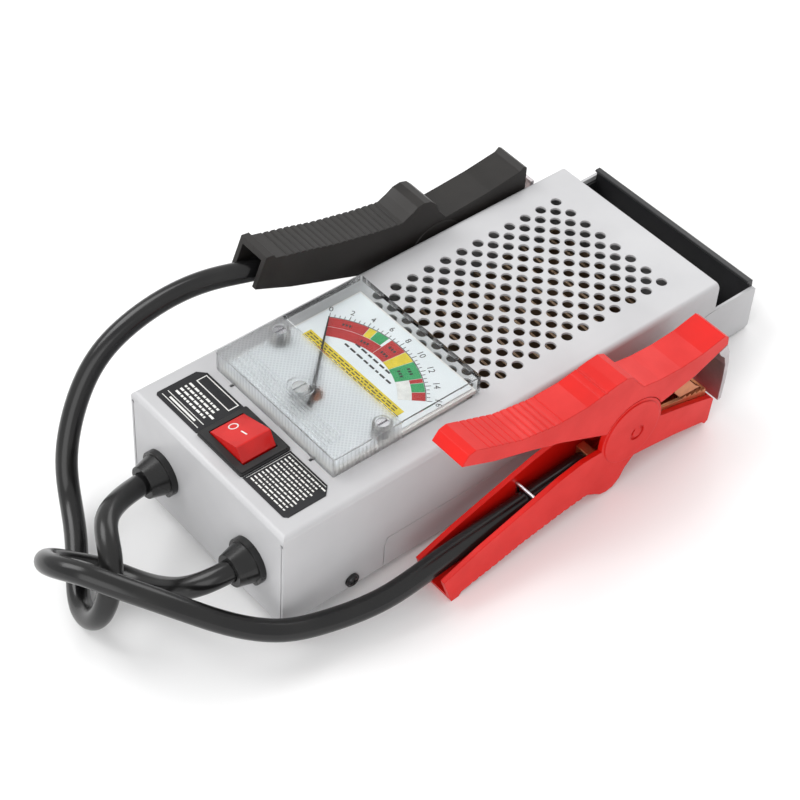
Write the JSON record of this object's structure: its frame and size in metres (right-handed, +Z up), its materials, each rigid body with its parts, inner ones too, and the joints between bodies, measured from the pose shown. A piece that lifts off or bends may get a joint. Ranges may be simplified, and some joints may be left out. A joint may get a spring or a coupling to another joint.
{
  "type": "battery load tester",
  "caption": "Vented steel case with a panel meter, rocker switch and rear grip; two heavy leads end in spring clamps.",
  "frame": {"origin": "on the floor below the middle of the case and clamps, leads left out", "axes": "+X from the front plate towards the grip, +Y towards the black clamp, +Z up"},
  "size_m": [0.3538, 0.1725, 0.0911],
  "materials": {
    "case_grey": "satin",
    "black_grip": "satin",
    "dark_screw": "blackened",
    "label_black": "matt",
    "black_plastic": "satin",
    "rocker_red": "glossy",
    "brass": "bright",
    "clear_cover": "clear moulded plastic",
    "meter_cream": "matt",
    "dial_face": "matt",
    "needle_black": "matt",
    "copper": "copper",
    "magnet_steel": "dull",
    "zero_screw": "glossy",
    "bright_screw": "bright",
    "ribbon_alloy": "oxidised",
    "insulator": "ceramic",
    "black_rubber": "matt",
    "lead_jacket": "satin",
    "red_plastic": "satin",
    "clamp_black": "satin",
    "jaw_copper": "copper plated",
    "beak_steel": "plated",
    "pin_steel": "plated",
    "spring_steel": "bright",
    "clip_steel": "plated"
  },
  "bodies": {
    "case": {"top_cover": "case_grey", "chassis_base": "case_grey", "handle_grip": "black_grip", "handle_screws": "dark_screw", "cover_screws": "dark_screw", "label_left": "label_black", "label_right": "label_black", "switch_bezel": "black_plastic", "switch_body": "black_plastic", "switch_terminals": "brass", "meter_cover": "clear_cover", "meter_case": "meter_cream", "meter_dial": "dial_face", "meter_magnet": "magnet_steel", "meter_screws": "bright_screw", "meter_nuts": "bright_screw", "meter_studs": "brass", "load_ribbon": "ribbon_alloy", "ribbon_insulators": "insulator", "bus_left": "copper", "bus_right": "copper", "lead_lugs": "copper", "gland_left": "black_rubber", "gland_right": "black_rubber", "black_lead": "lead_jacket", "red_lead": "lead_jacket", "red_lead_grip": "red_plastic", "red_lead_jaw": "jaw_copper", "red_pivot": "pin_steel", "red_spring": "spring_steel", "red_clip": "clip_steel", "black_lead_grip": "clamp_black", "black_lead_jaw": "jaw_copper", "black_pivot": "pin_steel", "black_spring": "spring_steel", "black_clip": "clip_steel"},
    "rocker": {"switch_rocker": "rocker_red"},
    "needle": {"meter_needle": "needle_black", "meter_coil": "copper"},
    "zero_screw": {"meter_zero_screw": "zero_screw"},
    "red_free_half": {"red_free_grip": "red_plastic", "red_free_jaw": "jaw_copper", "red_beak": "beak_steel", "red_spring_leg": "spring_steel"},
    "black_free_half": {"black_free_grip": "clamp_black", "black_free_jaw": "jaw_copper", "black_beak": "beak_steel", "black_spring_leg": "spring_steel"}
  },
  "joints": [
    {"name": "rocker_press", "type": "hinge", "parent": "case", "child": "rocker", "pos_m": [-0.11683, 0.00438, 0.06033], "axis": [0.9967, 0, -0.0814], "range_deg": [0, 14], "stiffness_Nm_per_rad": 0.05, "springref_deg": -17.19},
    {"name": "needle_swing", "type": "hinge", "parent": "case", "child": "needle", "pos_m": [-0.07855, 0.00688, 0.05971], "axis": [-0.0814, 0, -0.9967], "range_deg": [0, 85], "stiffness_Nm_per_rad": 0.00002, "springref_deg": -1.15},
    {"name": "zero_turn", "type": "hinge", "parent": "case", "child": "zero_screw", "pos_m": [-0.08408, 0.00738, 0.06819], "axis": [0.0814, 0, 0.9967], "range_deg": [-30, 30]},
    {"name": "red_clamp_open", "type": "hinge", "parent": "case", "child": "red_free_half", "pos_m": [0.02975, -0.06992, 0.0325], "axis": [0, -1, 0], "range_deg": [0, 26], "stiffness_Nm_per_rad": 3, "springref_deg": -34.38},
    {"name": "black_clamp_open", "type": "hinge", "parent": "case", "child": "black_free_half", "pos_m": [0.03601, 0.06854, 0.03714], "axis": [0.0175, 0.9998, 0], "range_deg": [0, 26], "stiffness_Nm_per_rad": 3, "springref_deg": -34.38}
  ]
}
